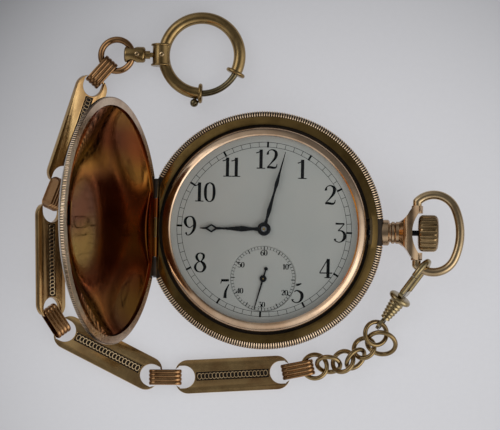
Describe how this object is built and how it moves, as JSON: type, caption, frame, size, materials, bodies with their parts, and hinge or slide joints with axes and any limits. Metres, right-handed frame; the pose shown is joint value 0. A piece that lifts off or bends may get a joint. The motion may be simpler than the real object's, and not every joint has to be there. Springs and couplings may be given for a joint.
{
  "type": "pocket watch",
  "caption": "Full hunter pocket watch lying open on its back, with a sub-seconds dial, winding crown, bow, and a clipped-on panel chain ending in a bolt ring.",
  "frame": {"origin": "centre of the small flat on the back cover that the watch lies on", "axes": "+X towards the pendant and crown, +Y towards twelve o'clock, +Z out of the dial"},
  "size_m": [0.0931, 0.0834, 0.0565],
  "materials": {
    "gold": "worn polished gold plate",
    "rose_gold": "polished rose gold plate",
    "chain_gold": "worn dark gold plate",
    "inner_gold": "polished inside of the cover",
    "steel": "polished steel",
    "nickel": "damascened nickel",
    "blued_steel": "blued steel",
    "brass": "satin brass",
    "enamel": "white enamel",
    "glass": "clear mineral glass",
    "ruby": "polished synthetic ruby"
  },
  "bodies": {
    "case": {"case_center": "gold", "bezel": "rose_gold", "crystal": "glass", "hinge_pins": "steel", "pendant": "rose_gold", "dial": "enamel", "main_plate": "nickel", "train_bridge": "nickel", "balance_cock": "nickel", "jewels": "ruby", "bridge_screws": "steel"},
    "front_cover": {"front_cover": "inner_gold"},
    "back_cover": {"back_cover": "gold"},
    "dust_cover": {"dust_cover": "gold"},
    "bow": {"bow": "gold"},
    "sleeve": {"stem_sleeve": "steel"},
    "clip_ring": {"stem_clip": "steel"},
    "crown": {"crown": "gold", "winding_stem": "steel"},
    "lock_spring": {"lock_spring": "blued_steel"},
    "minute_hand": {"minute_hand": "blued_steel", "cannon_pinion": "steel"},
    "hour_hand": {"hour_hand": "blued_steel", "hour_wheel": "brass"},
    "seconds_hand": {"seconds_hand": "blued_steel", "fourth_wheel": "brass"},
    "minute_wheel": {"minute_wheel": "brass"},
    "barrel": {"mainspring_barrel": "brass"},
    "ratchet_wheel": {"ratchet_wheel": "steel"},
    "crown_wheel": {"crown_wheel": "steel"},
    "click": {"click": "steel"},
    "center_wheel": {"center_wheel": "brass"},
    "third_wheel": {"third_wheel": "brass"},
    "escape_wheel": {"escape_wheel": "brass"},
    "pallet_fork": {"pallet_fork": "steel"},
    "balance": {"balance_wheel": "brass", "hairspring": "blued_steel"},
    "swivel_base": {"swivel_base": "chain_gold"},
    "swivel_hook": {"swivel_hook": "chain_gold"},
    "swivel_gate": {"swivel_gate": "chain_gold"},
    "ring_a": {"ring_a": "chain_gold"},
    "ring_b": {"ring_b": "chain_gold"},
    "ring_c": {"ring_c": "chain_gold"},
    "ring_d": {"ring_d": "chain_gold"},
    "ring_e": {"ring_e": "chain_gold"},
    "ring_f": {"ring_f": "chain_gold"},
    "ring_g": {"ring_g": "chain_gold"},
    "band_1": {"band_1": "chain_gold"},
    "panel_1": {"panel_1": "chain_gold"},
    "band_2": {"band_2": "chain_gold"},
    "panel_2": {"panel_2": "chain_gold"},
    "band_3": {"band_3": "chain_gold"},
    "panel_3": {"panel_3": "chain_gold"},
    "band_4": {"band_4": "chain_gold"},
    "panel_4": {"panel_4": "chain_gold"},
    "band_5": {"band_5": "chain_gold"},
    "end_ring": {"end_ring": "chain_gold"},
    "bolt_swivel": {"bolt_swivel": "chain_gold"},
    "bolt_ring": {"bolt_ring": "chain_gold"},
    "bolt": {"bolt": "chain_gold"}
  },
  "joints": [
    {"name": "front_cover_hinge", "type": "hinge", "parent": "case", "child": "front_cover", "pos_m": [-0.0235, 0, 0.0098], "axis": [0, 1, 0], "range_deg": [0, 106.9], "stiffness_Nm_per_rad": 0.0015, "springref_deg": -28.65},
    {"name": "back_cover_hinge", "type": "hinge", "parent": "case", "child": "back_cover", "pos_m": [-0.0235, 0, 0.0033], "axis": [0, 1, 0], "range_deg": [0, 95]},
    {"name": "dust_cover_hinge", "type": "hinge", "parent": "case", "child": "dust_cover", "pos_m": [-0.0235, 0, 0.0033], "axis": [0, 1, 0], "range_deg": [0, 81]},
    {"name": "bow_pivot", "type": "hinge", "parent": "case", "child": "bow", "pos_m": [0.0328, 0, 0.0066], "axis": [0, 1, 0], "range_deg": [-20, 12]},
    {"name": "crown_push", "type": "slide", "parent": "case", "child": "sleeve", "axis": [1, 0, 0], "range_m": [-0.0005, 0], "stiffness_N_per_m": 400},
    {"name": "crown_pull", "type": "slide", "parent": "sleeve", "child": "clip_ring", "axis": [1, 0, 0], "range_m": [0, 0.001]},
    {"name": "crown_turn", "type": "hinge", "parent": "clip_ring", "child": "crown", "pos_m": [0.033, 0, 0.0066], "axis": [1, 0, 0], "continuous": true},
    {"name": "lock_spring_flex", "type": "slide", "parent": "case", "child": "lock_spring", "axis": [1, 0, 0], "range_m": [-0.0005, 0]},
    {"name": "minute_hand_turn", "type": "hinge", "parent": "case", "child": "minute_hand", "pos_m": [0, 0, 0.0093], "axis": [0, 0, 1], "continuous": true},
    {"name": "hour_hand_turn", "type": "hinge", "parent": "case", "child": "hour_hand", "pos_m": [0, 0, 0.0093], "axis": [0, 0, 1], "continuous": true},
    {"name": "minute_wheel_turn", "type": "hinge", "parent": "case", "child": "minute_wheel", "pos_m": [-0.0014, 0.00242, 0.0093], "axis": [0, 0, 1], "continuous": true},
    {"name": "seconds_hand_turn", "type": "hinge", "parent": "case", "child": "seconds_hand", "pos_m": [0, -0.0106, 0.0093], "axis": [0, 0, 1], "continuous": true},
    {"name": "center_wheel_turn", "type": "hinge", "parent": "case", "child": "center_wheel", "pos_m": [0, 0, 0.008], "axis": [0, 0, 1], "continuous": true},
    {"name": "third_wheel_turn", "type": "hinge", "parent": "case", "child": "third_wheel", "pos_m": [-0.00313, -0.00555, 0.008], "axis": [0, 0, 1], "continuous": true},
    {"name": "escape_wheel_turn", "type": "hinge", "parent": "case", "child": "escape_wheel", "pos_m": [0.0044, -0.012, 0.008], "axis": [0, 0, 1], "continuous": true},
    {"name": "barrel_turn", "type": "hinge", "parent": "case", "child": "barrel", "pos_m": [0.00634, 0.00634, 0.008], "axis": [0, 0, 1], "continuous": true},
    {"name": "crown_wheel_turn", "type": "hinge", "parent": "case", "child": "crown_wheel", "pos_m": [0.0115, 0.00298, 0.008], "axis": [0, 0, 1], "continuous": true},
    {"name": "ratchet_wheel_turn", "type": "hinge", "parent": "case", "child": "ratchet_wheel", "pos_m": [0.00634, 0.00634, 0.008], "axis": [0, 0, 1], "continuous": true},
    {"name": "click_pivot", "type": "hinge", "parent": "case", "child": "click", "pos_m": [0.00259, 0.01008, 0.008], "axis": [0, 0, 1], "range_deg": [0, 20]},
    {"name": "pallet_fork_swing", "type": "hinge", "parent": "case", "child": "pallet_fork", "pos_m": [0.00781, -0.01009, 0.008], "axis": [0, 0, 1], "range_deg": [-4, 4]},
    {"name": "balance_swing", "type": "hinge", "parent": "case", "child": "balance", "pos_m": [0.0126, -0.0074, 0.008], "axis": [0, 0, 1], "range_deg": [-220, 220]},
    {"name": "clip_swing", "type": "hinge", "parent": "case", "child": "swivel_base", "pos_m": [0.03405, -0.00776, 0.0066], "axis": [0, 0, 1], "range_deg": [-3, 3]},
    {"name": "clip_swivel", "type": "hinge", "parent": "swivel_base", "child": "swivel_hook", "pos_m": [0.03405, -0.00776, 0.0066], "axis": [-0.5677, -0.7792, -0.2656], "range_deg": [-8, 8]},
    {"name": "gate_hinge", "type": "hinge", "parent": "swivel_hook", "child": "swivel_gate", "pos_m": [0.02983, -0.01309, 0.00673], "axis": [-0.7786, 0.613, -0.1342], "range_deg": [0, 20], "stiffness_Nm_per_rad": 0.002, "springref_deg": -11.46},
    {"name": "ring_a_swing", "type": "hinge", "parent": "swivel_base", "child": "ring_a", "pos_m": [0.02495, -0.0206, 0.00295], "axis": [0, 0, -1], "range_deg": [-3, 3]},
    {"name": "ring_b_swing", "type": "hinge", "parent": "ring_a", "child": "ring_b", "pos_m": [0.025, -0.02275, 0.00295], "axis": [0, 0, 1], "range_deg": [-3, 3]},
    {"name": "ring_c_swing", "type": "hinge", "parent": "ring_b", "child": "ring_c", "pos_m": [0.02375, -0.02435, 0.00215], "axis": [0, 0, -1], "range_deg": [-3, 3]},
    {"name": "ring_d_swing", "type": "hinge", "parent": "ring_c", "child": "ring_d", "pos_m": [0.021, -0.0261, 0.0021], "axis": [0, 0, 1], "range_deg": [-3, 3]},
    {"name": "ring_e_swing", "type": "hinge", "parent": "ring_d", "child": "ring_e", "pos_m": [0.01875, -0.0276, 0.0027], "axis": [0, 0, -1], "range_deg": [-3, 3]},
    {"name": "ring_f_swing", "type": "hinge", "parent": "ring_e", "child": "ring_f", "pos_m": [0.01585, -0.02825, 0.0027], "axis": [0, 0, 1], "range_deg": [-3, 3]},
    {"name": "ring_g_swing", "type": "hinge", "parent": "ring_f", "child": "ring_g", "pos_m": [0.0128, -0.02885, 0.00205], "axis": [0, 0, -1], "range_deg": [-3, 3]},
    {"name": "band_1_swing", "type": "hinge", "parent": "ring_g", "child": "band_1", "pos_m": [0.01066, -0.02921, 0.0016], "axis": [0, 0, 1], "range_deg": [-3, 3]},
    {"name": "panel_1_swing", "type": "hinge", "parent": "band_1", "child": "panel_1", "pos_m": [0.00489, -0.03044, 0.00158], "axis": [0, 0, -1], "range_deg": [-3, 3]},
    {"name": "band_2_swing", "type": "hinge", "parent": "panel_1", "child": "band_2", "pos_m": [-0.01806, -0.03204, 0.00158], "axis": [0, 0, 1], "range_deg": [-3, 3]},
    {"name": "panel_2_swing", "type": "hinge", "parent": "band_2", "child": "panel_2", "pos_m": [-0.02345, -0.03214, 0.00158], "axis": [0, 0, -1], "range_deg": [-3, 3]},
    {"name": "band_3_swing", "type": "hinge", "parent": "panel_2", "child": "band_3", "pos_m": [-0.04412, -0.02206, 0.00235], "axis": [0, 0, 1], "range_deg": [-3, 3]},
    {"name": "panel_3_swing", "type": "hinge", "parent": "band_3", "child": "panel_3", "pos_m": [-0.04636, -0.0186, 0.00315], "axis": [0, 0, -1], "range_deg": [-3, 3]},
    {"name": "band_4_swing", "type": "hinge", "parent": "panel_3", "child": "band_4", "pos_m": [-0.04716, 0.00438, 0.00315], "axis": [0, 0, 1], "range_deg": [-3, 3]},
    {"name": "panel_4_swing", "type": "hinge", "parent": "band_4", "child": "panel_4", "pos_m": [-0.04504, 0.01021, 0.00295], "axis": [0, 0, -1], "range_deg": [-3, 3]},
    {"name": "band_5_swing", "type": "hinge", "parent": "panel_4", "child": "band_5", "pos_m": [-0.03832, 0.0322, 0.00275], "axis": [0, 0, 1], "range_deg": [-3, 3]},
    {"name": "end_ring_swing", "type": "hinge", "parent": "band_5", "child": "end_ring", "pos_m": [-0.03462, 0.03661, 0.002], "axis": [0, 0, -1], "range_deg": [-3, 3]},
    {"name": "bolt_swivel_swing", "type": "hinge", "parent": "end_ring", "child": "bolt_swivel", "pos_m": [-0.02997, 0.03824, 0.0023], "axis": [0, 0, 1], "range_deg": [-3, 3]},
    {"name": "bolt_ring_swivel", "type": "hinge", "parent": "bolt_swivel", "child": "bolt_ring", "pos_m": [-0.02537, 0.03824, 0.0023], "axis": [1, 0, 0], "continuous": true},
    {"name": "bolt_slide", "type": "hinge", "parent": "bolt_ring", "child": "bolt", "pos_m": [-0.01472, 0.03824, 0.0023], "axis": [0, 0, -1], "range_deg": [0, 58], "stiffness_Nm_per_rad": 0.0008, "springref_deg": -17.19}
  ],
  "couplings": [
    {"joint": "dust_cover_hinge", "follows": "back_cover_hinge", "ratio": 0.85},
    {"joint": "lock_spring_flex", "follows": "crown_push", "ratio": 1},
    {"joint": "minute_wheel_turn", "follows": "minute_hand_turn", "ratio": -0.33333},
    {"joint": "hour_hand_turn", "follows": "minute_hand_turn", "ratio": 0.083333},
    {"joint": "third_wheel_turn", "follows": "seconds_hand_turn", "ratio": -0.125},
    {"joint": "center_wheel_turn", "follows": "seconds_hand_turn", "ratio": 0.016667},
    {"joint": "escape_wheel_turn", "follows": "seconds_hand_turn", "ratio": -10},
    {"joint": "barrel_turn", "follows": "seconds_hand_turn", "ratio": -0.0027778},
    {"joint": "crown_wheel_turn", "follows": "crown_turn", "ratio": 0.5},
    {"joint": "ratchet_wheel_turn", "follows": "crown_turn", "ratio": -0.375}
  ]
}
